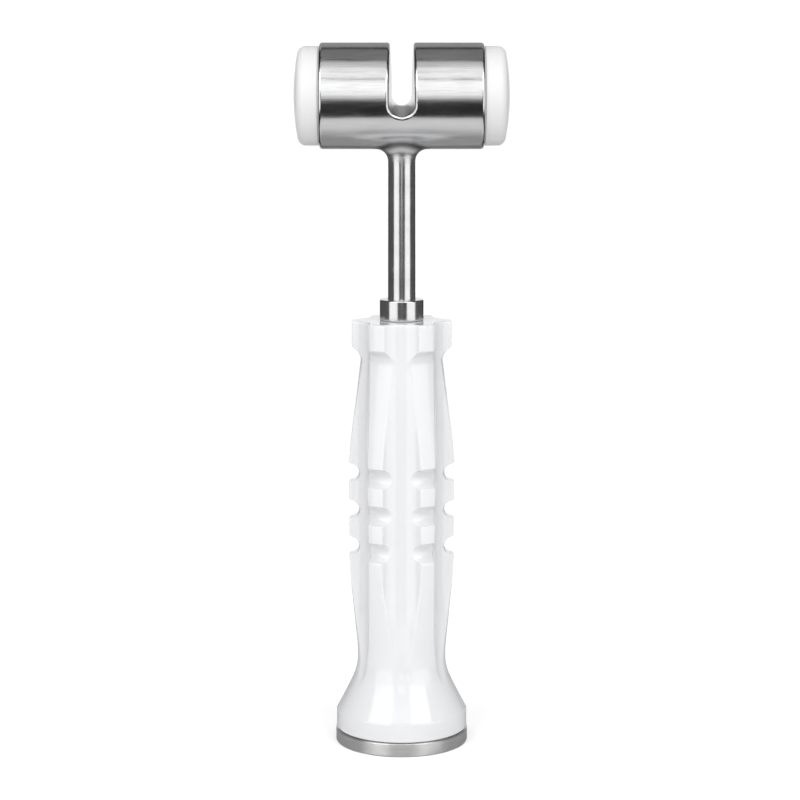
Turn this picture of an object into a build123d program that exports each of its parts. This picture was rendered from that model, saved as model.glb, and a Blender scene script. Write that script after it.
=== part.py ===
# Surgical mallet: a slotted steel head with white striking faces, a plain shaft, and a fluted white grip
# that stands on a steel end cap. Millimetres, +Z up the handle, head along X, slot along Y.
# The origin is the centre of the end cap's bottom face, on which the mallet stands.
import os
from math import asin, cos, pi, sin, sqrt

from build123d import *

# Head
head_axis_height = 235.25
head_diameter = 37.5
head_length = 58.5
head_edge_radius = 1.3

# Slot across the top of the head. It is narrowest at its middle and opens towards both mouths.
slot_width_middle = 7.0
slot_width_mouth = 9.0
slot_top_flare = 0.6
slot_floor_below_axis_middle = 3.2
slot_floor_below_axis_mouth = 7.0
slot_mouth_distance = 17.5
slot_edge_radius = 1.1

# Striking faces and the studs that hold them
face_diameter = 35.0
face_length = 8.9
face_edge_radius = 3.0
face_dome_radius = 85.0
face_seat_edge = 0.3
stud_diameter = 10.0
stud_depth_in_head = 9.0
stud_depth_in_face = 5.6
stud_end_gap = 0.4
stud_chamfer = 0.8

# Shaft and its tang inside the grip
shaft_diameter_top = 9.7
shaft_diameter_bottom = 10.0
shaft_fillet_radius = 4.2
tang_diameter = 8.0
tang_flats = 6.6
tang_flats_margin = 12.0
tang_end_chamfer = 0.8

# Collar
collar_diameter = 15.9
collar_height = 7.5
collar_floor = 3.0
collar_edge_radius = 0.6

# Grip: heights are above the grip's own bottom face
grip_height = 150.6
grip_ring_diameter = 36.0
grip_ring_height = 9.2
grip_ring_edge = 0.7
grip_waist_diameter = 29.8
grip_waist_below_top = 14.1
grip_chest_diameter = 33.44
grip_chest_below_waist = 15.1
grip_belly_diameter = 38.2
grip_belly_low = 65.0
grip_belly_high = 101.0
grip_neck_diameter = 32.1
grip_neck_height = 27.2
grip_foot_diameter = 47.6
grip_flare_diameter = 37.2
grip_flare_below_neck = 10.2
grip_flare_slope = 2.1
grip_foot_band = 6.7
grip_foot_edge = 0.6

# Flutes: straight hollows down the grip. A depth is below the round form, a rise is outwards from the neck.
flute_count = 6
flute_radius = 9.0
flute_depth_ring = 3.6
flute_depth_chest = 4.3
flute_depth_belly = 4.85
flute_deepest_height = 57.0
flute_depth_neck = 0.6
flute_tip_height = 18.1
flute_tip_rise = 2.05
flute_end_height = 15.1
flute_end_rise = 4.45

# Finger grooves, turned round the belly
groove_count = 3
groove_pitch = 13.5
groove_lowest_height = 68.3
groove_radius = 3.4
groove_depth = 3.45
groove_edge_radius = 0.5

# Counterbore in the foot, nut and washer
counterbore_diameter = 20.0
counterbore_depth = 15.0
washer_diameter = 18.0
washer_thickness = 1.6
nut_across_flats = 13.0
nut_height = 6.5
nut_chamfer = 0.7
tang_below_nut = 1.5

# End cap
cap_diameter = 48.2
cap_thickness = 4.9
cap_edge_radius = 0.5
cap_spigot_height = 4.6
cap_spigot_wall = 3.6

# Ring seals
seal_section = 1.4
seal_groove_width = 1.9
collar_seal_radius = 5.9
cap_seal_height = 2.3

# Clearances: radial in each fit, and at the seals
fit_clearance = 0.05
seal_clearance = 0.02

# Worked out from the sizes above
head_radius = head_diameter / 2
grip_bottom = cap_thickness
grip_top = grip_bottom + grip_height
collar_bottom = grip_top
shoulder_height = collar_bottom + collar_floor
washer_top = grip_bottom + counterbore_depth
nut_top = washer_top - washer_thickness
nut_bottom = nut_top - nut_height
tang_bottom = nut_bottom - tang_below_nut
seat_x = head_length / 2


def rod(radius, height):
    """An upright cylinder that stands on the origin."""
    return Cylinder(radius, height, align=(Align.CENTER, Align.CENTER, Align.MIN))


def ring(outer_radius, inner_radius, bottom, height):
    """A plain washer shape about the Z axis."""
    return Pos(0, 0, bottom) * (rod(outer_radius, height) - rod(inner_radius, height))


def circles(shape):
    """The shape's edges that are circles or arcs of one."""
    return [e for e in shape.edges() if e.geom_type == GeomType.CIRCLE]


def seal(radius, height, section):
    """A ring seal: a round section carried about the Z axis."""
    return Pos(0, 0, height) * Torus(radius, section / 2)


def slot_section(y):
    """The slot's outline at one distance along it: a U with a round floor and walls that flare upwards."""
    share = (y / slot_mouth_distance) ** 2
    half = slot_width_middle / 2 + (slot_width_mouth - slot_width_middle) / 2 * share
    middle, mouth = slot_floor_below_axis_middle, slot_floor_below_axis_mouth
    floor = head_axis_height - middle - (mouth - middle) * share
    flare_start = head_axis_height + head_radius * 0.4
    top = head_axis_height + head_radius * 1.3
    top_half = half + slot_top_flare * (top - flare_start) / (head_radius * 0.6)
    outline = [(half, floor + half), (half, flare_start), (top_half, top), (-top_half, top),
               (-half, flare_start), (-half, floor + half)]
    points = [Vector(x, y, z) for x, z in outline]
    edges = [Line(points[i], points[i + 1]) for i in range(len(points) - 1)]
    edges.append(ThreePointArc(points[-1], Vector(0, y, floor), points[0]))
    return Face(Wire(edges))


def slot_tool():
    """The slot as a solid, longer than the head is thick."""
    reach = head_radius * 1.2
    stations = [reach * k / 3 for k in range(-3, 4)]
    return loft([slot_section(y) for y in stations])


def tang_solid(diameter, flats, bottom, top, round_margin):
    """The tang: a rod with two long flats, round again for a stretch at each end."""
    tang = Pos(0, 0, bottom) * rod(diameter / 2, top - bottom)
    flat_bottom = washer_top + round_margin
    flat_top = grip_top - round_margin
    side = diameter
    slab = Box(2 * side, side, flat_top - flat_bottom, align=(Align.CENTER, Align.MIN, Align.MIN))
    for turn in (0, 180):
        tang -= Rot(0, 0, turn) * Pos(0, flats / 2, flat_bottom) * slab
    return tang


def head_and_shaft():
    """Head, shaft and tang in one piece, with the slot and the two blind holes for the studs."""
    bar = Pos(0, 0, head_axis_height) * Rot(0, 90, 0) * Cylinder(head_radius, head_length)
    shaft_length = head_axis_height - shoulder_height
    cone = Cone(shaft_diameter_bottom / 2, shaft_diameter_top / 2, shaft_length,
                align=(Align.CENTER, Align.CENTER, Align.MIN))
    body = bar + Pos(0, 0, shoulder_height) * cone
    low_edges = [e for e in body.edges() if shoulder_height + 1 < e.center().Z < head_axis_height
                 and abs(e.center().X) < shaft_diameter_top]
    body = fillet(low_edges, shaft_fillet_radius)
    body -= slot_tool()
    rims = [e for e in body.edges() if abs(e.center().X) < head_length / 4
            and e.center().Z > head_axis_height - head_radius * 0.6 and touches_cylinder(e)]
    body = fillet(rims, slot_edge_radius)
    ends = [e for e in body.edges() if abs(abs(e.center().X) - seat_x) < 0.01]
    body = fillet(ends, head_edge_radius)
    hole_radius = stud_diameter / 2 + fit_clearance
    hole_depth = stud_depth_in_head + stud_end_gap
    for side in (-1, 1):
        hole = Rot(0, 90, 0) * Cylinder(hole_radius, hole_depth)
        body -= Pos(side * (seat_x - hole_depth / 2), 0, head_axis_height) * hole
    tang = tang_solid(tang_diameter, tang_flats, tang_bottom, shoulder_height, tang_flats_margin)
    tip = [e for e in tang.edges() if abs(e.center().Z - tang_bottom) < 0.01]
    return body + chamfer(tip, tang_end_chamfer)


def touches_cylinder(edge):
    """True for an edge that lies on the head's round outside all along."""
    for at in (0.1, 0.37, 0.63, 0.9):
        p = edge.position_at(at)
        if abs(sqrt(p.Y ** 2 + (p.Z - head_axis_height) ** 2) - head_radius) > 0.02:
            return False
    return True


def turned_face():
    """A striking face about its own Z axis: a flat back, a round edge and a domed front, turned in one."""
    radius = face_diameter / 2
    dome_centre = face_length - face_dome_radius
    edge_centre_r = radius - face_edge_radius
    reach = face_dome_radius - face_edge_radius
    edge_centre_z = dome_centre + sqrt(reach ** 2 - edge_centre_r ** 2)
    dome_half = asin(edge_centre_r / reach)

    def on_arc(centre_r, centre_z, arc_radius, angle):
        """A point of an arc, at an angle from the face's axis."""
        return centre_r + arc_radius * sin(angle), centre_z + arc_radius * cos(angle)

    dome_rim = on_arc(0, dome_centre, face_dome_radius, dome_half)
    dome_middle = on_arc(0, dome_centre, face_dome_radius, dome_half / 2)
    edge_middle = on_arc(edge_centre_r, edge_centre_z, face_edge_radius, (pi / 2 + dome_half) / 2)
    seat_rim, seat_side = (radius - face_seat_edge, 0), (radius, face_seat_edge)
    side_end = (radius, edge_centre_z)
    outline = [Line((0, 0), seat_rim), Line(seat_rim, seat_side), Line(seat_side, side_end),
               ThreePointArc(side_end, edge_middle, dome_rim),
               ThreePointArc(dome_rim, dome_middle, (0, face_length)), Line((0, face_length), (0, 0))]
    return revolve(Plane.XZ * make_face(outline), Axis.Z)


def striking_face(side):
    """One striking face on its end of the head, with the blind hole for its stud."""
    hole_depth = stud_depth_in_face + stud_end_gap
    hole = rod(stud_diameter / 2 + fit_clearance, hole_depth)
    return Pos(side * seat_x, 0, head_axis_height) * Rot(0, side * 90, 0) * (turned_face() - hole)


def face_stud(side):
    """The stud between a striking face and the head."""
    length = stud_depth_in_head + stud_depth_in_face
    solid = Cylinder(stud_diameter / 2, length)
    solid = chamfer(circles(solid), stud_chamfer)
    middle = seat_x + (stud_depth_in_face - stud_depth_in_head) / 2
    return Pos(side * middle, 0, head_axis_height) * Rot(0, 90, 0) * solid


def collar():
    """The steel ring that carries the shaft's shoulder on the grip, with a groove for its seal."""
    solid = ring(collar_diameter / 2, tang_diameter / 2 + fit_clearance, collar_bottom, collar_height)
    pocket = collar_height - collar_floor
    solid -= Pos(0, 0, shoulder_height) * rod(shaft_diameter_bottom / 2 + fit_clearance, pocket)
    outer = [e for e in circles(solid) if abs(e.radius - collar_diameter / 2) < 0.01]
    solid = fillet(outer, collar_edge_radius)
    half = seal_groove_width / 2
    depth = seal_section + 2 * seal_clearance
    return solid - ring(collar_seal_radius + half, collar_seal_radius - half, collar_bottom, depth)


def grip_body():
    """The grip's round form: ring, throat, waist, chest, belly, neck, flare and foot, turned in one."""
    foot, neck, belly = grip_foot_diameter / 2, grip_neck_diameter / 2, grip_belly_diameter / 2
    waist, chest, ring_radius = grip_waist_diameter / 2, grip_chest_diameter / 2, grip_ring_diameter / 2
    waist_height = grip_height - grip_waist_below_top
    ring_low = grip_height - grip_ring_height
    chest_height = waist_height - grip_chest_below_waist
    down = (0, -1)
    throat = Spline((ring_radius, ring_low), (waist, waist_height), tangents=[(-1, -1), down])
    breast = Spline((waist, waist_height), (chest, chest_height), (belly, grip_belly_high),
                    tangents=[down, down])
    thigh = Spline((belly, grip_belly_low), (neck, grip_neck_height), tangents=[down, down])
    flare_middle = (grip_flare_diameter / 2, grip_neck_height - grip_flare_below_neck)
    flare = Spline((neck, grip_neck_height), flare_middle, (foot, grip_foot_band),
                   tangents=[down, (1, -grip_flare_slope)])
    outline = [Line((0, grip_height), (ring_radius, grip_height)),
               Line((ring_radius, grip_height), (ring_radius, ring_low)), throat, breast,
               Line((belly, grip_belly_high), (belly, grip_belly_low)), thigh, flare,
               Line((foot, grip_foot_band), (foot, 0)), Line((foot, 0), (0, 0)),
               Line((0, 0), (0, grip_height))]
    return revolve(Plane.XZ * make_face(outline), Axis.Z)


def cut_grooves(body):
    """The body with its half-round grooves, their edges rounded."""
    belly = grip_belly_diameter / 2
    for row in range(groove_count):
        height = groove_lowest_height + row * groove_pitch
        body -= Pos(0, 0, height) * Torus(belly - groove_depth + groove_radius, groove_radius)
    middle = groove_lowest_height + (groove_count - 1) * groove_pitch / 2
    reach = (groove_count - 1) * groove_pitch / 2 + 2 * groove_radius
    straight_ends = (grip_belly_low, grip_belly_high)
    edges = [e for e in circles(body) if abs(e.radius - belly) < 0.01 and abs(e.center().Z - middle) < reach
             and min(abs(e.center().Z - height) for height in straight_ends) > 0.01]
    return fillet(edges, groove_edge_radius)


def flute_cutter():
    """One flute: level circles that follow the grip's form at their depth, and leave it above the foot."""
    ring_floor = grip_ring_diameter / 2 - flute_depth_ring
    belly, neck = grip_belly_diameter / 2, grip_neck_diameter / 2
    floors = [(grip_height + 2 * grip_ring_edge, ring_floor),
              (grip_height - grip_waist_below_top, ring_floor),
              (grip_belly_high, belly - flute_depth_chest),
              (flute_deepest_height, belly - flute_depth_belly),
              (grip_neck_height, neck - flute_depth_neck),
              (flute_tip_height, neck + flute_tip_rise),
              (flute_end_height, neck + flute_end_rise)]
    return loft([Pos(floor + flute_radius, 0, height) * Circle(flute_radius) for height, floor in floors])


def grip():
    """The moulded grip with its grooves, flutes, bore and counterbore. A flute faces the front."""
    solid = cut_grooves(grip_body())
    flute = flute_cutter()
    for k in range(flute_count):
        solid -= Rot(0, 0, 90 + k * 360 / flute_count) * flute
    rounds = [e for e in solid.edges() if abs(e.center().Z - grip_height) < 0.01]
    solid = fillet(rounds, grip_ring_edge)
    foot_edge = [e for e in solid.edges() if abs(e.center().Z) < 0.01]
    solid = chamfer(foot_edge, grip_foot_edge)
    solid = Pos(0, 0, grip_bottom) * solid
    solid -= tang_solid(tang_diameter + 2 * fit_clearance, tang_flats + 2 * fit_clearance, grip_bottom,
                        grip_top, tang_flats_margin)
    return solid - Pos(0, 0, grip_bottom) * rod(counterbore_diameter / 2, counterbore_depth)


def tang_nut():
    """Hexagon nut on the end of the tang, its corners turned off."""
    corner = nut_across_flats / 2 / cos(pi / 6)
    solid = extrude(RegularPolygon(corner, 6), amount=nut_height)
    solid &= chamfer(circles(rod(corner, nut_height)), nut_chamfer)
    solid -= rod(tang_diameter / 2 + fit_clearance, nut_height)
    return Pos(0, 0, nut_bottom) * solid


def end_cap():
    """The steel disc under the foot. Its hollow spigot fits the counterbore and carries the seal."""
    disc = fillet(circles(rod(cap_diameter / 2, cap_thickness)), cap_edge_radius)
    outer = counterbore_diameter / 2 - fit_clearance
    solid = disc + ring(outer, outer - cap_spigot_wall, cap_thickness, cap_spigot_height)
    groove_floor = outer - seal_section - seal_clearance
    low = cap_thickness + cap_seal_height - seal_groove_width / 2
    return solid - ring(outer + 1, groove_floor, low, seal_groove_width)


collar_seal_height = collar_bottom + seal_section / 2 + seal_clearance
nodes = {
    "head_and_shaft": head_and_shaft(),
    "left_face": striking_face(-1),
    "right_face": striking_face(1),
    "left_face_stud": face_stud(-1),
    "right_face_stud": face_stud(1),
    "collar": collar(),
    "collar_seal": seal(collar_seal_radius, collar_seal_height, seal_section),
    "grip": grip(),
    "tang_washer": ring(washer_diameter / 2, tang_diameter / 2 + fit_clearance, nut_top, washer_thickness),
    "tang_nut": tang_nut(),
    "end_cap": end_cap(),
    "end_cap_seal": seal(counterbore_diameter / 2 - fit_clearance - seal_section / 2,
                         cap_thickness + cap_seal_height, seal_section),
}

os.makedirs("parts", exist_ok=True)
for name, solid in nodes.items():
    export_step(solid, "parts/" + name + ".step")
    print(name, "volume", round(solid.volume / 1000, 2), "cm3")
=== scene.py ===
# %% [markdown]
# A surgical mallet, finished around its own frame
#
# The mallet's construction is already settled in the imported model: where each piece sits and how large it is.
# This script adds the looks. It loads that model first, because every surface below takes its place from it.

# %% Load the frame
import math

import bpy
import numpy as np
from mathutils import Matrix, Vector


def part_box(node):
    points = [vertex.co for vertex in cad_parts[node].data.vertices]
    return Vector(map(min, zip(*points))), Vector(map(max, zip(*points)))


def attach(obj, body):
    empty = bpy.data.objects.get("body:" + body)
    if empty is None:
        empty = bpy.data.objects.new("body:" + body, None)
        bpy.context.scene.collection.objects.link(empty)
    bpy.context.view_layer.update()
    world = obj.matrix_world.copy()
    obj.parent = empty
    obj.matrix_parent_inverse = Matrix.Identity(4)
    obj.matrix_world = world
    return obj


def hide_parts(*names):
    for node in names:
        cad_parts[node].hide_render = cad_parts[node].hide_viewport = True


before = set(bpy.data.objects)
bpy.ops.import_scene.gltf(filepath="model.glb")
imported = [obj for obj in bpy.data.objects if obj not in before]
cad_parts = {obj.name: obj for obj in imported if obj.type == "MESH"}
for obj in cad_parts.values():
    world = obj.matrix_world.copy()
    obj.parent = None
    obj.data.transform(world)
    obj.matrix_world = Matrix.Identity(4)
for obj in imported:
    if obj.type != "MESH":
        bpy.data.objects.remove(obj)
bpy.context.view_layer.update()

MM = 0.001
print("nodes:", sorted(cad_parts))

# %% [markdown]
# Writing shader maths as sums
#
# A finish such as satin steel is a small calculation: a fine pattern, stretched along the grain, nudges the
# roughness up and down. Blender does that with Math nodes, which are slow to read when each is made by hand.
# The first class below wraps one socket, so that `0.2 + 0.1 * grain` adds the nodes by itself. All other
# nodes come from one method of the second class, which sets a node's own settings first and its sockets
# after.

# %% A socket that can be calculated with
class Wire:
    """One output socket of a node tree. Sums and products of wires and numbers add Math nodes."""

    def __init__(self, tree, socket):
        self.tree = tree
        self.socket = socket

    def of(self, output):
        """Another output of the same node."""
        return Wire(self.tree, self.socket.node.outputs[output])

    def math(self, operation, first, second=0.0):
        """A Math node on one or two values."""
        return self.tree.node("Math", "Value", {"operation": operation}, {0: first, 1: second})

    def __add__(self, other):
        return self.math("ADD", self, other)

    def __radd__(self, other):
        return self.math("ADD", other, self)

    def __sub__(self, other):
        return self.math("SUBTRACT", self, other)

    def __rsub__(self, other):
        return self.math("SUBTRACT", other, self)

    def __mul__(self, other):
        return self.math("MULTIPLY", self, other)

    def __rmul__(self, other):
        return self.math("MULTIPLY", other, self)

    def __truediv__(self, other):
        return self.math("DIVIDE", self, other)

    def size(self):
        """The value without its sign."""
        return self.math("ABSOLUTE", self)

    def clipped(self):
        """The value held between 0 and 1."""
        return self.tree.node("Clamp", "Result", {}, {"Value": self})


print("wires take part in sums")

# %% A tree that nodes are added to
BLACK = (0.0, 0.0, 0.0)
WHITE = (1.0, 1.0, 1.0)


class Tree:
    """A node tree that is being built. A Mix node's sockets go by number, because several share a name."""

    def __init__(self, owner):
        owner.use_nodes = True
        self.tree = owner.node_tree
        self.tree.nodes.clear()

    def node(self, kind, output, settings, sockets):
        """Adds one node. The settings are set first, then each socket gets its value or its link."""
        made = self.tree.nodes.new("ShaderNode" + kind)
        for name, value in settings.items():
            setattr(made, name, value)
        for name, value in sockets.items():
            if isinstance(value, Wire):
                self.tree.links.new(value.socket, made.inputs[name])
            else:
                made.inputs[name].default_value = value
        return Wire(self, made.outputs[output]) if output is not None else made

    def place(self):
        """The piece's own coordinates, in metres."""
        return self.node("TexCoord", "Object", {}, {})

    def along(self, axis):
        """The place along one axis, in metres."""
        return self.node("SeparateXYZ", axis, {}, {0: self.place()})

    def height(self):
        """The height above the mallet's base, in millimetres."""
        return self.along("Z") / MM

    def stretched(self, scales):
        """The piece's own coordinates times one scale for each axis."""
        return self.node("VectorMath", "Vector", {"operation": "MULTIPLY"}, {0: self.place(), 1: scales})

    def length(self, vector):
        """The length of a vector."""
        return self.node("VectorMath", "Value", {"operation": "LENGTH"}, {0: vector})

    def noise(self, scales, detail=2.0):
        """Soft noise between 0 and 1, with so many lumps for each metre along each axis."""
        return self.node("TexNoise", "Fac", {}, {
            "Vector": self.stretched(scales), "Scale": 1.0, "Detail": detail})

    def colours(self, share, first, second):
        """A blend of two colours, or wires: the first where the share is 0, the second where it is 1."""
        ends = [c if isinstance(c, Wire) else (*c, 1) for c in (first, second)]
        return self.node("Mix", 2, {"data_type": "RGBA"}, {0: share, 6: ends[0], 7: ends[1]})

    def values(self, share, first, second):
        """A blend of two values, as colours() is of two colours."""
        return self.node("Mix", 0, {"data_type": "FLOAT"}, {0: share, 2: first, 3: second})

    def principled(self, sockets):
        """The surface's one shader, joined to the material's output."""
        shader = self.node("BsdfPrincipled", "BSDF", {}, sockets)
        self.node("OutputMaterial", None, {}, {"Surface": shader})


print("shader maths ready")

# %% [markdown]
# Satin steel
#
# The head and the shaft are one turned and ground piece of stainless steel. Its polish shows long soft
# reflections of the lamps, and over them very fine grain: along the head on the head, and in rings round the
# shaft on the shaft. The grain could be painted as an image, but stretched noise gives it at any size without
# one. It changes the roughness more than the colour, because ground steel differs in gloss and hardly in
# tone.
#
# The fillet between head and shaft is blended by hand, because no lathe reaches it. It is duller than the
# rest. Its root, where it meets the head, is darkened in the base colour: painted shade that stands for the
# dark surroundings mirrored there. Both follow the place on the piece: how far a point is above or below the
# fillet, and how far it is from the shaft's axis.

# %% Grain, the hand-blended fillet, and the painted shade at its root
TURNED = (150.0, 150.0, 3600.0)
ALONG_HEAD = (120.0, 2600.0, 2600.0)
STEEL_DETAIL = 3.0
RING_CONTRAST = 0.3
RING_LEVEL = 0.35
BLEND_REACH = 4.3
BLEND_FADE = 3.0
# Where the painted shade at the fillet's root lies, in mm
ROOT_RADIUS = 8.6
ROOT_WIDTH = 2.8
ROOT_CONTRAST = 1.4
ROOT_TOP = 6.0


def steel_grain(tree, fillet_height):
    """Turned rings. Above the fillet, whose height is in mm, they give way to grain along the head."""
    rings = tree.noise(TURNED, detail=STEEL_DETAIL)
    if fillet_height is None:
        return rings
    along_head = tree.noise(ALONG_HEAD, detail=STEEL_DETAIL)
    on_head = (tree.height() - fillet_height).clipped()
    return tree.values(on_head, RING_CONTRAST * rings + RING_LEVEL, along_head)


def in_blend(tree, fillet_height):
    """1 at the fillet's height, fading to 0 at the blend's reach above and below it."""
    return ((BLEND_REACH - (tree.height() - fillet_height).size()) / BLEND_FADE).clipped()


def in_painted_root_shade(tree, fillet_height):
    """Painted shade: 1 on a ring round the shaft's axis, where the fillet meets the head. 0 away from it and
    above it.
    """
    from_axis = tree.length(tree.stretched((1, 1, 0))) / MM
    ring = ROOT_CONTRAST * (1 - (from_axis - ROOT_RADIUS).size() / ROOT_WIDTH).clipped()
    return ring.clipped() * (ROOT_TOP + fillet_height - tree.height()).clipped()


print("the blend reaches", BLEND_REACH, "mm, and its root lies", ROOT_RADIUS, "mm from the axis")

# %% Steel
SMUDGES = (90.0, 180.0, 180.0)
GRAIN_IN_TONE, SMUDGE_IN_TONE, TONE_OFFSET = 2.2, 2.0, 1.6
GRAIN_IN_GLOSS = 0.15
BLEND_MATTE = 0.2
# The share of the colour left in the painted shade at the fillet's root
PAINTED_SHADE_AT_ROOT = 0.25
RING_DIRECTION = 0.25


def shaded(colour, share):
    """A colour at a share of its brightness."""
    return tuple(share * c for c in colour)


def steel(name, colour, roughness, relief_height, smudged=0.06, shade=0.9, turned_gloss=0.0,
          fillet_height=None):
    """Grain and smudges move the tone between the colour and a share of it, and move the gloss.
    turned_gloss draws highlights out across the rings. relief_height is in metres, fillet_height in mm."""
    finish = bpy.data.materials.new(name)
    tree = Tree(finish)
    grain = steel_grain(tree, fillet_height)
    smudge = tree.noise(SMUDGES, detail=STEEL_DETAIL)
    tone = (GRAIN_IN_TONE * grain + SMUDGE_IN_TONE * smudge - TONE_OFFSET).clipped()
    base = tree.colours(tone, shaded(colour, shade), colour)
    gloss = roughness + GRAIN_IN_GLOSS * (grain - 0.5) + smudged * (smudge - 0.5)
    if fillet_height is not None:
        gloss = gloss + BLEND_MATTE * in_blend(tree, fillet_height)
        # Painted shade: the base colour darkens on a ring at the fillet's root
        base = tree.colours(in_painted_root_shade(tree, fillet_height), base, shaded(colour, PAINTED_SHADE_AT_ROOT))
    relief = tree.node("Bump", "Normal", {}, {"Strength": 1.0, "Distance": relief_height, "Height": grain})
    tree.principled({
        "Base Color": base, "Metallic": 1.0, "Anisotropic": turned_gloss,
        "Anisotropic Rotation": RING_DIRECTION, "Roughness": gloss, "Normal": relief})
    return finish


print("the grain moves the roughness by up to", GRAIN_IN_GLOSS / 2)

# %% Steel finishes
FILLET_BELOW_FACES = 2.5
fillet_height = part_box("left_face")[0].z / MM - FILLET_BELOW_FACES
head_steel = steel(
    "head_steel", (0.80, 0.80, 0.805), roughness=0.19, relief_height=0.000007, smudged=0.09, shade=0.86,
    fillet_height=fillet_height)
collar_steel = steel("collar_steel", (0.79, 0.79, 0.795), roughness=0.18, relief_height=0.00001)
cap_steel = steel(
    "cap_steel", (0.96, 0.96, 0.955), roughness=0.40, relief_height=0.00002, smudged=0.2, shade=0.86,
    turned_gloss=0.85)
fastener_steel = steel("fastener_steel", (0.50, 0.50, 0.51), roughness=0.34, relief_height=0.00001)
print("steel finishes:", [m.name for m in (head_steel, collar_steel, cap_steel, fastener_steel)])

# %% [markdown]
# Plastics and rubber
#
# The grip is injection moulded, glossy and slightly cool in tone, and the moulding leaves a faint ripple that
# softens its reflections. The striking faces are turned from a denser white plastic with a low sheen, so
# their gloss varies in fine rings about the head's axis. Both are a little milky, which subsurface scattering
# gives. Plain white would look like paint. The seals inside are plain dark rubber. A value that is the same
# all over, such as the plastic's reflectance, is set on the shader's own socket.

# %% Plastic
BROAD_LUMPS = (40.0, 40.0, 25.0)
RIPPLE_STRENGTH = 0.2
PLASTIC_IOR = 1.5
MILKY_DEPTH = 0.0015
COAT_ROUGHNESS = 0.05


def plastic(name, colour, shade, roughness, ripple_scale, ripple_height, uneven, stretch=(1, 1, 1), coat=0.0,
            milky=0.0):
    """Broad noise moves the tone between shade and colour. A fine ripple moves the gloss and the relief."""
    finish = bpy.data.materials.new(name)
    tree = Tree(finish)
    ripple = tree.noise(tuple(ripple_scale * s for s in stretch))
    relief = tree.node("Bump", "Normal", {}, {
        "Strength": RIPPLE_STRENGTH, "Distance": ripple_height, "Height": ripple})
    tree.principled({
        "Base Color": tree.colours(tree.noise(BROAD_LUMPS), shade, colour),
        "Roughness": roughness + uneven * (ripple - 0.5), "IOR": PLASTIC_IOR, "Normal": relief,
        "Subsurface Weight": milky, "Subsurface Radius": WHITE, "Subsurface Scale": MILKY_DEPTH,
        "Coat Weight": coat, "Coat Roughness": COAT_ROUGHNESS})
    return finish


print("light goes about", MILKY_DEPTH / MM, "mm into the plastics")

# %% Plastic and rubber finishes
grip_plastic = plastic(
    "grip_plastic", (0.70, 0.703, 0.715), (0.685, 0.689, 0.702), roughness=0.12, ripple_scale=260.0,
    ripple_height=0.00002, uneven=0.04, coat=0.4, milky=0.2)
face_plastic = plastic(
    "face_plastic", (0.675, 0.675, 0.68), (0.66, 0.66, 0.667), roughness=0.4, ripple_scale=900.0,
    ripple_height=0.00001, uneven=0.12, stretch=(2, 0.2, 0.2), milky=0.3)
seal_rubber = plastic(
    "seal_rubber", (0.045, 0.045, 0.047), (0.03, 0.03, 0.032), roughness=0.7, ripple_scale=1500.0,
    ripple_height=0.00003, uneven=0.2)
print("plastics:", [m.name for m in (grip_plastic, face_plastic, seal_rubber)])

# %% [markdown]
# From a grid of points to a mesh
#
# Every new piece below is a surface with two parameters: rows follow its outline, and columns run once round
# its axis. The points are worked out as whole arrays, and one function joins neighbours with quads. The
# columns close on themselves, so there is no seam. A row whose points all lie on the axis becomes one point
# with a fan of triangles, so a pole is closed too. A closed outline also joins its last row to its first.

# %% Grid surfaces
POLE_SPREAD = 1e-9


def grid_piece(name, grid, finish, node, closed):
    """Joins an array of rows x columns x 3 points, in mm, into a smooth mesh that stands for a CAD node."""
    rows, columns = grid.shape[:2]
    pole = np.linalg.norm(np.ptp(grid, axis=1), axis=1) < POLE_SPREAD
    sizes = np.where(pole, 1, columns)
    starts = np.concatenate([[0], np.cumsum(sizes)[:-1]])
    number = starts[:, None] + np.where(pole[:, None], 0, np.arange(columns))
    keep = ~pole[:, None] | (np.arange(columns) == 0)
    row = np.arange(rows if closed else rows - 1)
    here, there = number[row], number[(row + 1) % rows]
    quads = np.stack([here, np.roll(here, -1, 1), np.roll(there, -1, 1), there], axis=-1)
    low_pole, high_pole = pole[row], pole[(row + 1) % rows]
    squares = quads[~low_pole & ~high_pole].reshape(-1, 4)
    low_fan = quads[low_pole & ~high_pole][..., 1:].reshape(-1, 3)
    high_fan = quads[high_pole & ~low_pole][..., :3].reshape(-1, 3)
    mesh = bpy.data.meshes.new(name)
    mesh.from_pydata((grid[keep] * MM).tolist(), [], squares.tolist() + low_fan.tolist() + high_fan.tolist())
    mesh.shade_smooth()
    mesh.materials.append(finish)
    piece = bpy.data.objects.new(name, mesh)
    bpy.context.scene.collection.objects.link(piece)
    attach(piece, "root")
    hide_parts(node)
    triangles = 2 * len(squares) + len(low_fan) + len(high_fan)
    print(name, "has", len(mesh.vertices), "points and", triangles, "triangles")


print("grids can become pieces")

# %% [markdown]
# Outlines with rounded corners
#
# A turned piece is drawn as a lathe hand would: straight cuts, with each corner broken by a small radius. A
# Bevel modifier could round the corners, but it needs a weight for every edge. Here a corner is written as
# its radius from the axis, its height and its rounding, and the arc that replaces it touches both sides.
# Straight stretches are divided, and get one more point beside each arc, because the smooth shading of a flat
# then stays flat up to its edge.

# %% Straight stretches and arcs
BESIDE_ARC = 0.12


def divided(start, end, step):
    """Points from start to just before end: evenly spaced, and one more close to each end."""
    length = np.linalg.norm(end - start)
    places = np.linspace(0, length, max(2, math.ceil(length / step) + 1))
    if length > 4 * BESIDE_ARC:
        places = np.sort(np.concatenate([places, [BESIDE_ARC, length - BESIDE_ARC]]))
    return start + (end - start) * (places[:-1, None] / length)


def arc(centre, radius, first, last, steps):
    """Points of an arc: centre + radius (cos a, sin a), with a from first to last in degrees."""
    angle = np.radians(np.linspace(first, last, steps + 1))
    return np.asarray(centre) + radius * np.stack([np.cos(angle), np.sin(angle)], axis=-1)


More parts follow.
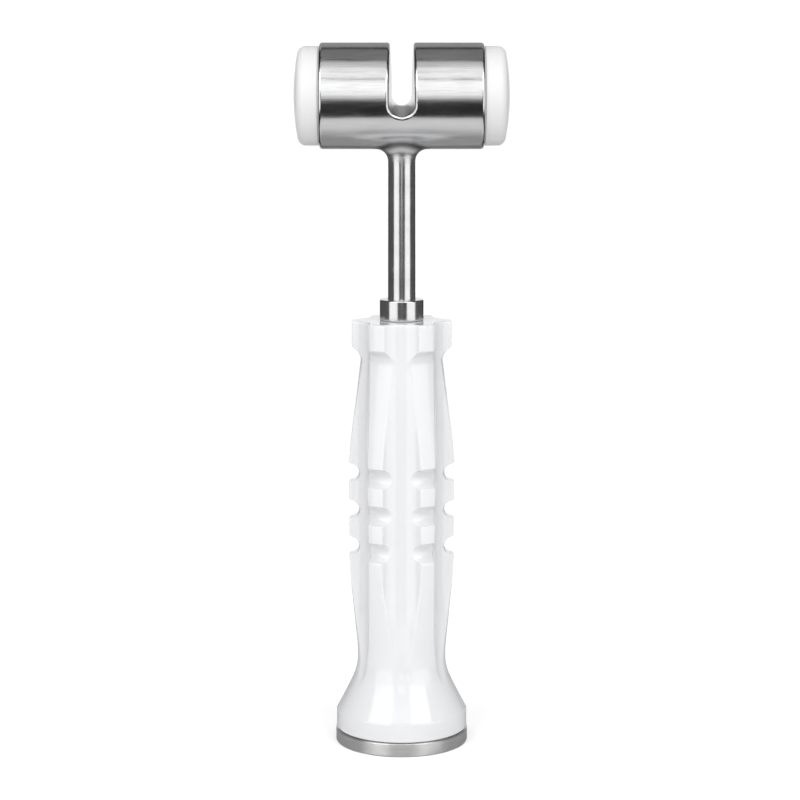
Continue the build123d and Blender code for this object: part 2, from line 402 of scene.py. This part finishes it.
def corner_arc(before, corner, after, radius, steps=6):
    """The arc that touches both sides of a corner: its centre lies radius / sin(half the angle) from it."""
    if radius == 0:
        return corner[None]
    back, ahead = before - corner, after - corner
    back, ahead = back / np.linalg.norm(back), ahead / np.linalg.norm(ahead)
    half = math.acos(np.clip(back @ ahead, -1, 1)) / 2
    inwards = (back + ahead) / np.linalg.norm(back + ahead)
    centre = corner + inwards * radius / math.sin(half)
    start = corner + back * radius / math.tan(half) - centre
    end = corner + ahead * radius / math.tan(half) - centre
    turn = math.pi - 2 * half
    share = np.linspace(0, 1, steps + 1)[:, None]
    return centre + (np.sin((1 - share) * turn) * start + np.sin(share * turn) * end) / math.sin(turn)


print("points beside an arc lie", BESIDE_ARC, "mm from it")

# %% Rounded outlines, turned
OUTLINE_STEP = 1.5


def rounded(corners, closed=True):
    """An outline through corners (radius from the axis, height, rounding), counterclockwise."""
    points = np.array([c[:2] for c in corners], float)
    before, after = np.roll(points, 1, 0), np.roll(points, -1, 0)
    arcs = [corner_arc(before[i], points[i], after[i], corners[i][2]) for i in range(len(corners))]
    stretches = []
    for i in range(len(arcs) if closed else len(arcs) - 1):
        following = arcs[(i + 1) % len(arcs)]
        stretches += [arcs[i][:-1], divided(arcs[i][-1], following[0], OUTLINE_STEP)]
    if not closed:
        stretches.append(arcs[-1])
    return np.concatenate(stretches)


def turned(outline, columns=192):
    """The outline turned about the Z axis: x = r cos a, y = r sin a, z = height."""
    angle = np.arange(columns) * 2 * np.pi / columns
    radius, height = outline[:, :1], outline[:, 1:]
    return np.stack([radius * np.cos(angle), radius * np.sin(angle), height + 0 * angle], axis=-1)


print("outline tools ready")

# %% [markdown]
# The grip's round form
#
# Seen from the side, the grip is a ring at the top, a hollow throat under it, a chest that widens down to the
# belly, three finger grooves, a thigh that narrows to a neck, and a flared foot. It could be carved from a
# subdivided block, but its outline is a lathe's, so it is worked out as one: arcs for the throat and the
# grooves, and a smooth curve through a few radii for the chest, the thigh and the flare. All heights are
# above the grip's own lower edge.

# %% Sizes of the grip's form
grip_low, grip_high = (corner.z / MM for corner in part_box("grip"))
grip_length = grip_high - grip_low
RING_RADIUS = 18.0
RING_EDGE = 0.3
RIM_ROUNDING = 0.8
THROAT_ARC = 5.5
WAIST_RADIUS = 14.92
WAIST_BELOW_TOP = 14.5
BELLY_RADIUS = 19.1
FOOT_RADIUS = 23.8
FOOT_BAND = 6.7
FOOT_CHAMFER = 0.6
CHEST_CURVE = [(99.6, 19.1), (106.7, 18.5), (121.4, 16.72), (136.1, 14.92)]
THIGH_CURVE = [(6.7, 23.8), (13.2, 20.45), (17.0, 18.6), (20.8, 17.02), (24.6, 16.16), (27.6, 16.05),
               (39.7, 17.0), (54.7, 18.45), (64.0, 19.1)]
print("the grip is", round(grip_length, 2), "mm long")

# %% Smooth curves through a few radii
def smooth_curve(knots, height):
    """Radii at the heights: cubic pieces through the knots, whose slopes are the mean of both sides."""
    z, r = np.array(knots).T
    slope = np.gradient(r, z)
    i = np.clip(np.searchsorted(z, height) - 1, 0, len(z) - 2)
    width = z[i + 1] - z[i]
    t = (height - z[i]) / width
    start = (1 + 2 * t) * (1 - t) ** 2 * r[i] + t * (1 - t) ** 2 * width * slope[i]
    return start + t ** 2 * (3 - 2 * t) * r[i + 1] - t ** 2 * (1 - t) * width * slope[i + 1]


def curve_rows(knots, step):
    """The smooth curve through the knots as (radius, height) points, at most a step apart in height."""
    low, high = knots[0][0], knots[-1][0]
    height = np.linspace(low, high, math.ceil((high - low) / step) + 1)
    return np.stack([smooth_curve(knots, height), height], axis=-1)


thigh = curve_rows(THIGH_CURVE, 0.9)
chest = curve_rows(CHEST_CURVE, 1.1)
print("thigh and chest:", len(thigh), "and", len(chest), "rows")

# %% Finger grooves
GROOVE_RADIUS = 3.4
GROOVE_FLOOR = 15.65
GROOVE_EDGE = 0.5
GROOVE_HEIGHTS = (68.3, 81.8, 95.3)


def groove_rows(centre):
    """One half-round groove with rounded edges, as arcs that touch each other and the belly."""
    reach = GROOVE_RADIUS + GROOVE_EDGE
    groove_centre = GROOVE_FLOOR + GROOVE_RADIUS
    edge_centre = BELLY_RADIUS - GROOVE_EDGE
    rise = math.sqrt(reach ** 2 - (groove_centre - edge_centre) ** 2)
    turn = math.degrees(math.acos((groove_centre - edge_centre) / reach))
    low = arc((edge_centre, centre - rise), GROOVE_EDGE, 0, turn, 6)
    hollow = arc((groove_centre, centre), GROOVE_RADIUS, 180 + turn, 180 - turn, 26)
    high = arc((edge_centre, centre + rise), GROOVE_EDGE, -turn, 0, 6)
    return np.concatenate([low, hollow[1:-1], high])


grooves = [groove_rows(centre) for centre in GROOVE_HEIGHTS]
print("grooves:", len(grooves), "of", len(grooves[0]), "rows")

# %% The whole outline
def grip_outside():
    """The grip's outline from the foot's lower edge up to the ring, as (radius, height) points."""
    throat_centre = (WAIST_RADIUS + THROAT_ARC, grip_length - WAIST_BELOW_TOP)
    throat_end = math.degrees(math.acos((THROAT_ARC + WAIST_RADIUS - RING_RADIUS) / THROAT_ARC))
    throat = arc(throat_centre, THROAT_ARC, 180, 180 - throat_end, 18)
    foot = rounded([(FOOT_RADIUS - FOOT_CHAMFER, 0, 0.15), (FOOT_RADIUS, FOOT_CHAMFER, 0.2),
                    (FOOT_RADIUS, FOOT_BAND - 0.2, 0)], closed=False)
    ring_wall = divided(np.array([RING_RADIUS, throat[-1][1] + RING_EDGE]),
                        np.array([RING_RADIUS, grip_length - RIM_ROUNDING]), 1.6)
    return np.concatenate([foot, thigh, *grooves, chest, throat[1:-1], ring_wall])


outside = grip_outside()
print("grip outline:", len(outside), "points, from", outside[0].round(2), "to", outside[-1].round(2))

# %% [markdown]
# The flutes
#
# Six straight hollows run down the grip, one of them in front, and leave six ribs. Each is as if a round bar
# were pressed in beside the axis: at one height its section is a circle of radius rho whose centre is C from
# the axis. Seen from the axis, at an angle d from the flute's middle, that circle starts at
# C cos d - sqrt(rho^2 - C^2 sin^2 d). The grip's radius is the smaller of that and the round form. A boolean
# cut would leave ragged triangles along the edges. Here the columns of the grid follow the edge instead,
# which lies where cos d = (r^2 + C^2 - rho^2) / (2 r C).

# %% Columns that follow the flutes' edges
FLUTES = 6
COLUMNS_IN_FLUTE = 13
COLUMNS_ON_RIB = 10
CLOSER_IN_FLUTE = 1.8
CLOSER_ON_RIB = 1.7


def column_angles(edge):
    """Angles round the grip for each row: close together beside each flute's edge, which is at +-edge."""
    half_sector = math.pi / FLUTES
    edge = edge[:, None]
    inside = 1 - (1 - np.linspace(0, 1, COLUMNS_IN_FLUTE + 1)) ** CLOSER_IN_FLUTE
    outwards = np.linspace(0, 1, COLUMNS_ON_RIB + 1)[1:] ** CLOSER_ON_RIB
    half = np.concatenate([edge * inside, edge + (half_sector - edge) * outwards], axis=1)
    sector = np.concatenate([-half[:, :0:-1], half[:, :-1]], axis=1)
    turns = -math.pi / 2 + np.arange(FLUTES) * 2 * half_sector
    return sector, (turns[None, :, None] + sector[:, None, :]).reshape(len(edge), -1)


print("columns round the grip:", 2 * FLUTES * (COLUMNS_IN_FLUTE + COLUMNS_ON_RIB))

# %% Fluted rows
FLUTE_RADIUS = 9.0
FLUTE_FLOOR = [(12.0, 22.6), (15.1, 20.5), (18.1, 18.1), (20.6, 16.75), (23.1, 15.95), (27.2, 15.5),
               (45.0, 14.9), (57.0, 14.25), (83.0, 14.6), (107.0, 14.8), (123.0, 14.75), (136.1, 14.4),
               (152.0, 14.4)]
EDGE_BLEND = 0.32
LEAST_EDGE = math.radians(1.5)


def fluted_rows(radius, height, inset):
    """Rows of the grip, in mm, and their angles. inset moves the round form and the flutes into the material.
    Where they meet, the smaller radius is taken with a soft step that is EDGE_BLEND wide."""
    centre = smooth_curve(FLUTE_FLOOR, height) + FLUTE_RADIUS
    bar, form = FLUTE_RADIUS + inset, radius - inset
    cosine = (form ** 2 + centre ** 2 - bar ** 2) / (2 * form * centre)
    edge = np.maximum(np.arccos(np.clip(cosine, -1, 1)), LEAST_EDGE)
    sector, angle = column_angles(edge)
    side = centre[:, None] * np.sin(sector)
    flute = centre[:, None] * np.cos(sector) - np.sqrt(np.maximum(bar[:, None] ** 2 - side ** 2, 0))
    flute = np.tile(flute, (1, FLUTES))
    form = form[:, None]
    share = np.clip(0.5 + 0.5 * (flute - form) / EDGE_BLEND, 0, 1)
    r = flute + (form - flute) * share - EDGE_BLEND * share * (1 - share)
    return np.stack([r * np.cos(angle), r * np.sin(angle), height[:, None] + 0 * r], axis=-1), angle


print("the flutes are deepest where their floor is", min(r for _, r in FLUTE_FLOOR), "mm from the axis")

# %% The ring's rim, and the skin
BESIDE_RIM = np.array([0.15, 0.6, 1.6])


def rim_rows():
    """The ring's rounded top edge and the flat top: the outline moves inwards as its edge rounds over."""
    turn = np.radians(np.linspace(0, 90, 9))
    inset = np.concatenate([RIM_ROUNDING * (1 - np.cos(turn)), RIM_ROUNDING + BESIDE_RIM])
    drop = np.concatenate([RIM_ROUNDING * (1 - np.sin(turn)), 0 * BESIDE_RIM])
    return inset, grip_length - drop


rim_inset, rim_height = rim_rows()
skin, skin_angle = fluted_rows(
    np.concatenate([outside[:, 0], np.full(len(rim_inset), RING_RADIUS)]),
    np.concatenate([outside[:, 1], rim_height]),
    np.concatenate([np.zeros(len(outside)), rim_inset]))
print("skin:", skin.shape[0], "rows of", skin.shape[1], "points")

# %% The bore, and the grip put together
BORE_RADIUS = 4.05
BORE_MIDDLE = 80.0
COUNTERBORE_RADIUS = 10.0
COUNTERBORE_DEPTH = 15.0


def plain_rows(circles, angle):
    """Circles with given (radius, height), on given column angles."""
    r, height = np.array(circles)[:, :1], np.array(circles)[:, 1:]
    return np.stack([r * np.cos(angle), r * np.sin(angle), height + 0 * angle], axis=-1)


inner = plain_rows([
    (11.0, grip_length), (8.5, grip_length), (BORE_RADIUS, grip_length), (BORE_RADIUS, BORE_MIDDLE),
    (BORE_RADIUS, COUNTERBORE_DEPTH), (COUNTERBORE_RADIUS, COUNTERBORE_DEPTH), (COUNTERBORE_RADIUS, 0.0),
    (16.0, 0.0), (22.0, 0.0)], skin_angle[-1:])
grip_grid = np.concatenate([skin, inner])
grip_grid[..., 2] += grip_low
grid_piece("grip_moulding", grip_grid, grip_plastic, "grip", closed=True)

# %% [markdown]
# Striking faces
#
# Each end of the head carries a turned plastic face: flat at the back, straight at the side, then a generous
# radius into a slightly domed front, with no mark of wear. The blind hole at the back takes the stud that
# holds it. One outline is turned and laid along the head's axis twice, by turning its coordinates and not by
# mirroring them, so that both meshes keep their faces outwards.

# %% Outline of a striking face
face_low, face_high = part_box("right_face")
face_radius = (face_high.z - face_low.z) / 2 / MM
face_length = (face_high.x - face_low.x) / MM
head_axis = (face_high.z + face_low.z) / 2 / MM
FACE_EDGE = 3.0
FACE_DOME = 85.0
FACE_SEAT_EDGE = 0.3
STUD_HOLE_RADIUS = 5.05
STUD_HOLE_DEPTH = 6.0


def face_outline():
    """From the hole's floor out over the flat back, up the side, round the edge and over the dome."""
    back = rounded([
        (0, STUD_HOLE_DEPTH, 0), (STUD_HOLE_RADIUS, STUD_HOLE_DEPTH, 0), (STUD_HOLE_RADIUS, 0, 0.1),
        (face_radius - FACE_SEAT_EDGE, 0, 0.05), (face_radius, FACE_SEAT_EDGE, 0.1),
        (face_radius, face_length - FACE_EDGE - 2, 0)], closed=False)
    dome_centre = face_length - FACE_DOME
    edge_r = face_radius - FACE_EDGE
    reach = FACE_DOME - FACE_EDGE
    edge_z = dome_centre + math.sqrt(reach ** 2 - edge_r ** 2)
    lean = math.degrees(math.asin(edge_r / reach))
    edge = arc((edge_r, edge_z), FACE_EDGE, 0, 90 - lean, 14)
    dome = arc((0, dome_centre), FACE_DOME, 90 - lean, 90, 20)
    dome[-1, 0] = 0
    return np.concatenate([back, edge, dome[1:]])


print("a face is", round(2 * face_radius, 2), "mm across and", round(face_length, 2), "mm long")

# %% Two striking faces
def along_head(grid, side, start):
    """Lays a turned grid along X: side +1 or -1 gives (side z + start, side x, y + the head's axis)."""
    return np.stack([side * grid[..., 2] + start, side * grid[..., 0], grid[..., 1] + head_axis], axis=-1)


for side, name in ((-1, "left_face"), (1, "right_face")):
    low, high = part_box(name)
    seat = (low.x if side > 0 else high.x) / MM
    grid = along_head(turned(face_outline()), side, seat)
    grid_piece(name.replace("face", "striking_face"), grid, face_plastic, name, closed=False)

# %% [markdown]
# Collar
#
# A plain steel ring takes the shaft's shoulder and presses on the grip. It is bright turned steel with both
# outer edges broken, a pocket for the shaft on top and a groove for the seal underneath. It could keep its
# CAD mesh, but a turned outline gives its edges clean highlights.

# %% Shaft collar
collar_low, collar_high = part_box("collar")
collar_radius = collar_high.x / MM
bottom, top = collar_low.z / MM, collar_high.z / MM
SHARP = 0.05
COLLAR_EDGE = 0.55
POCKET_RADIUS = 5.05
POCKET_EDGE = 0.15
SEAL_INSIDE, SEAL_OUTSIDE = 4.95, 6.85
pocket_floor = bottom + 3.0
seal_top = bottom + 1.44
collar_outline = rounded([
    (BORE_RADIUS, bottom, SHARP), (SEAL_INSIDE, bottom, SHARP), (SEAL_INSIDE, seal_top, SHARP),
    (SEAL_OUTSIDE, seal_top, SHARP), (SEAL_OUTSIDE, bottom, SHARP),
    (collar_radius, bottom, COLLAR_EDGE), (collar_radius, top, COLLAR_EDGE),
    (POCKET_RADIUS, top, POCKET_EDGE), (POCKET_RADIUS, pocket_floor, SHARP),
    (BORE_RADIUS, pocket_floor, SHARP)])
grid_piece("shaft_collar", turned(collar_outline), collar_steel, "collar", closed=True)

# %% [markdown]
# End cap
#
# The mallet stands on a round steel disc under the foot. Its edges are broken, and a hollow spigot on top
# fits the grip's counterbore and carries a ring seal in a groove. It is turned from an outline as the collar
# is, with more columns, because it is the widest piece and its edge is seen from close above.

# %% Foot cap
cap_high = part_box("end_cap")[1]
cap_radius = cap_high.x / MM
spigot_top = cap_high.z / MM
cap_top = grip_low
CAP_EDGE = 0.45
CAP_COLUMNS = 256
SPIGOT_RADIUS = 9.95
SPIGOT_INSIDE = SPIGOT_RADIUS - 3.6
SPIGOT_EDGE = 0.1
GROOVE_INSIDE = SPIGOT_RADIUS - 1.42
groove_low = cap_top + 1.35
groove_high = cap_top + 3.25
cap_outline = rounded([
    (0, 0, 0), (cap_radius, 0, CAP_EDGE), (cap_radius, cap_top, CAP_EDGE),
    (SPIGOT_RADIUS, cap_top, SPIGOT_EDGE), (SPIGOT_RADIUS, groove_low, SHARP),
    (GROOVE_INSIDE, groove_low, SHARP), (GROOVE_INSIDE, groove_high, SHARP),
    (SPIGOT_RADIUS, groove_high, SHARP), (SPIGOT_RADIUS, spigot_top, SPIGOT_EDGE),
    (SPIGOT_INSIDE, spigot_top, SPIGOT_EDGE), (SPIGOT_INSIDE, cap_top, SPIGOT_EDGE), (0, cap_top, 0)],
    closed=False)
grid_piece("foot_cap", turned(cap_outline, CAP_COLUMNS), cap_steel, "end_cap", closed=False)

# %% [markdown]
# The pieces that keep their own mesh
#
# The head with its slot, and the studs, seals, washer and nut inside, have their true shape in the packed
# model already. They keep it, and each gets its finish in its material slots.

# %% Finishes for the carried-over pieces
CARRIED_OVER = {
    "head_and_shaft": head_steel, "left_face_stud": fastener_steel, "right_face_stud": fastener_steel,
    "tang_washer": fastener_steel, "tang_nut": fastener_steel, "collar_seal": seal_rubber,
    "end_cap_seal": seal_rubber}
for name, finish in CARRIED_OVER.items():
    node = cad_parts[name]
    if not node.material_slots:
        node.data.materials.append(finish)
    for place in node.material_slots:
        place.material = finish
    print(name, "is finished in", finish.name)

# %% [markdown]
# Floor
#
# The mallet stands on a small round table, pale and plain. It is kept small on purpose: polished steel
# mirrors all that is in front of it, and the dark beyond the table's edge is what draws the black band
# across the head. A large white floor would fill that band. The table glows a little for the camera alone, so
# that it is as white as the background. In mirror reflections it is grey, with painted shade close to the
# foot, as a contact shadow, and behind it, as on the far end of a photographer's paper sweep.

# %% Finish of the floor
FLOOR_TONE = 0.9
MIRRORED_TONE = 0.64
SHADED_TONE = 0.34
SHADE_BEHIND = 0.04
SHADE_ROUND_FOOT = 0.10
SHADE_FADE = 0.07
FLOOR_GLOW = 0.2
floor_finish = bpy.data.materials.new("pale_floor")
floor_tree = Tree(floor_finish)
floor_seen = floor_tree.node("LightPath", "Is Camera Ray", {}, {})
# Painted shade, seen only in mirror reflections: darker behind the foot and close round it
behind = (floor_tree.along("Y") / SHADE_BEHIND).clipped()
near = ((SHADE_ROUND_FOOT - floor_tree.length(floor_tree.place())) / SHADE_FADE).clipped()
mirror_tone = floor_tree.values((behind + near).clipped(), MIRRORED_TONE, SHADED_TONE)
floor_tone = floor_tree.values(floor_seen.of("Is Glossy Ray"), FLOOR_TONE, mirror_tone)
floor_tree.principled({
    "Base Color": floor_tree.colours(floor_tone, BLACK, WHITE), "Roughness": 0.9,
    "Emission Color": floor_tree.colours(floor_seen, BLACK, WHITE), "Emission Strength": FLOOR_GLOW})
print("floor finish:", floor_finish.name)

# %% Pale floor
TABLE_RADIUS = 0.235
TABLE_CORNERS = 128
TABLE_DROP = 0.00005
floor_angle = np.arange(TABLE_CORNERS) * 2 * np.pi / TABLE_CORNERS
floor_rim = TABLE_RADIUS * np.stack([np.cos(floor_angle), np.sin(floor_angle), 0 * floor_angle], axis=-1)
floor_mesh = bpy.data.meshes.new("floor")
floor_mesh.from_pydata(floor_rim.tolist(), [], [list(range(TABLE_CORNERS))])
floor_mesh.materials.append(floor_finish)
floor = bpy.data.objects.new("floor", floor_mesh)
floor.location.z = -TABLE_DROP
bpy.context.scene.collection.objects.link(floor)
print("floor radius", TABLE_RADIUS, "m")

# %% [markdown]
# Lamps
#
# Studio photographs of steel are drawn with reflections, so each lamp here makes one bright shape. An
# environment image could do that too, but lamps can be placed one at a time. They are rectangles that the
# camera doesn't see, and each is placed by the direction it is seen in from the mallet. A lamp's radiance is
# how bright it looks in a mirror, and its power follows from that.

# %% A light panel
def panel(name, position, target, width, height, radiance):
    """A rectangular lamp facing a point. Its power is pi times its area times its radiance."""
    lamp = bpy.data.lights.new(name, "AREA")
    lamp.shape = "RECTANGLE"
    lamp.size, lamp.size_y = width, height
    lamp.energy = math.pi * width * height * radiance
    holder = bpy.data.objects.new(name, lamp)
    holder.location = position
    away = np.array(position) - np.array(target)
    holder.rotation_euler = (math.acos(away[2] / np.linalg.norm(away)), 0, math.atan2(away[0], -away[1]))
    holder.visible_camera = False
    bpy.context.scene.collection.objects.link(holder)
    print(name, "at", tuple(round(float(v), 3) for v in position), "radiance", radiance)


def across(first, last, distance):
    """The width that fills the angles from first to last, in degrees, at a distance."""
    return 2 * distance * math.tan(math.radians((last - first) / 2))


print("a panel from 22 to 67 degrees, 1 m away, is", round(across(22, 67, 1), 3), "m wide")

# %% [markdown]
# Beside the camera
#
# Two tall panels, left and right of the camera, give the shaft and the collar their bright stripes. The dark
# between them is the dark stripe in the middle. The flared foot leans back and mirrors what stands higher, so
# two more panels above the first two draw its highlights.

# %% Side panels
PANEL_DISTANCE = 1.0


def around(azimuth, distance, height):
    """A place round the mallet: azimuth in degrees from the camera's side, positive to the right."""
    a = math.radians(azimuth)
    return distance * math.sin(a), -distance * math.cos(a), height


for name, first, last, low, high, radiance in (
        ("left_panel", -67, -22, -0.25, 0.45, 1.2), ("right_panel", 27, 74, -0.25, 0.45, 1.2),
        ("left_high_panel", -66, -20, 0.47, 1.3, 2.2), ("right_high_panel", 20, 60, 0.47, 1.3, 2.2)):
    place = around((first + last) / 2, PANEL_DISTANCE, (low + high) / 2)
    panel(name, place, (0, 0, place[2]), across(first, last, PANEL_DISTANCE), high - low, radiance)

# %% [markdown]
# Over the head
#
# The head is a cylinder that lies across the view, so it mirrors a strip of the room from low in front, up
# and over, to high behind. Panels along that strip draw its bands one by one, bright or dim, and the gaps
# between them are its dark lines. The tallest of them stands close to the head, so that it fills the head's
# brightest band and lights little else.

# %% Panels over the head
head_height = head_axis * MM


def above_head(elevation, distance):
    """A place in the plane of the camera and the head: the elevation runs from the front (0) over the top."""
    e = math.radians(elevation)
    return 0, -distance * math.cos(e), head_height + distance * math.sin(e)


# Each has its lowest and highest elevation in degrees, its distance and width in m, and its radiance.
for name, lowest, highest, distance, width, radiance in (
        ("lowest_front_panel", -10.5, -5.5, 1.3, 1.05, 0.15), ("low_front_panel", -5, 1.5, 1.3, 0.3, 0.85),
        ("mid_front_panel", 2, 9.5, 1.3, 0.5, 1.3), ("front_top_panel", 10, 35.5, 0.4, 0.28, 1.25),
        ("overhead_panel", 39, 53, 1.0, 2.0, 1.15), ("mid_overhead_panel", 53.5, 66, 1.0, 2.0, 1.02),
        ("far_overhead_panel", 66.5, 81, 1.0, 0.9, 0.62), ("back_top_panel", 85, 121, 0.9, 0.9, 0.19)):
    place = above_head((lowest + highest) / 2, distance)
    panel(name, place, (0, 0, head_height), width, across(lowest, highest, distance), radiance)

# %% [markdown]
# Behind the mallet
#
# White plastic in front of a white background needs its outline lit from behind, or it turns dark at the rim.
# One panel behind does that for the grip, and one above it lights the head's upper edge. Two dim ones at the
# sides keep the outlines of the steel from going black.

# %% Panels behind
for name, place, width, height, radiance in (
        ("high_back_panel", (0, 1.3, 1.15), 1.8, 1.2, 0.30),
        ("low_back_panel", (0, 1.3, 0.07), 1.15, 0.94, 0.95),
        ("left_back_panel", around(-106, 1.2, 0.4), 1.5, 1.4, 0.08),
        ("right_back_panel", around(106, 1.2, 0.4), 1.5, 1.4, 0.08)):
    panel(name, place, (0, 0, place[2]), width, height, radiance)

# %% [markdown]
# World
#
# The photograph's background is plain white, but a white world would also fill the steel with white. The
# world therefore answers by kind of ray: white to the camera, nearly dark to mirror reflections, and a soft
# grey to the diffuse light that fills the plastics' shaded sides.

# %% World light
BACKDROP = 1.05
FILL = 0.53
DARK = 0.015
world = bpy.data.worlds.new("studio")
bpy.context.scene.world = world
sky = Tree(world)
sky_seen = sky.node("LightPath", "Is Camera Ray", {}, {})
strength = FILL + sky_seen * (BACKDROP - FILL) + sky_seen.of("Is Glossy Ray") * (DARK - FILL)
backdrop = sky.node("Background", "Background", {}, {"Color": (*WHITE, 1), "Strength": strength})
sky.node("OutputWorld", None, {}, {"Surface": backdrop})
print("world fill", FILL)

# %% [markdown]
# Camera
#
# The viewpoint was found from the photograph's perspective: the ellipses of the cap and the collar give a
# view about nine degrees downwards, with a long lens and the camera just above the head's height.

# %% Camera
CAMERA_PLACE = (-0.0006, -0.8369, 0.2599)
CAMERA_PITCH = 9.07
lens = bpy.data.cameras.new("camera")
lens.sensor_width = 36.0
lens.lens = 105.6
camera = bpy.data.objects.new("camera", lens)
camera.location = CAMERA_PLACE
camera.rotation_euler = (math.radians(90 - CAMERA_PITCH), 0, 0)
bpy.context.scene.collection.objects.link(camera)
bpy.context.scene.camera = camera
bpy.context.scene.view_settings.view_transform = "Standard"
print("camera at", CAMERA_PLACE, "with a", lens.lens, "mm lens")
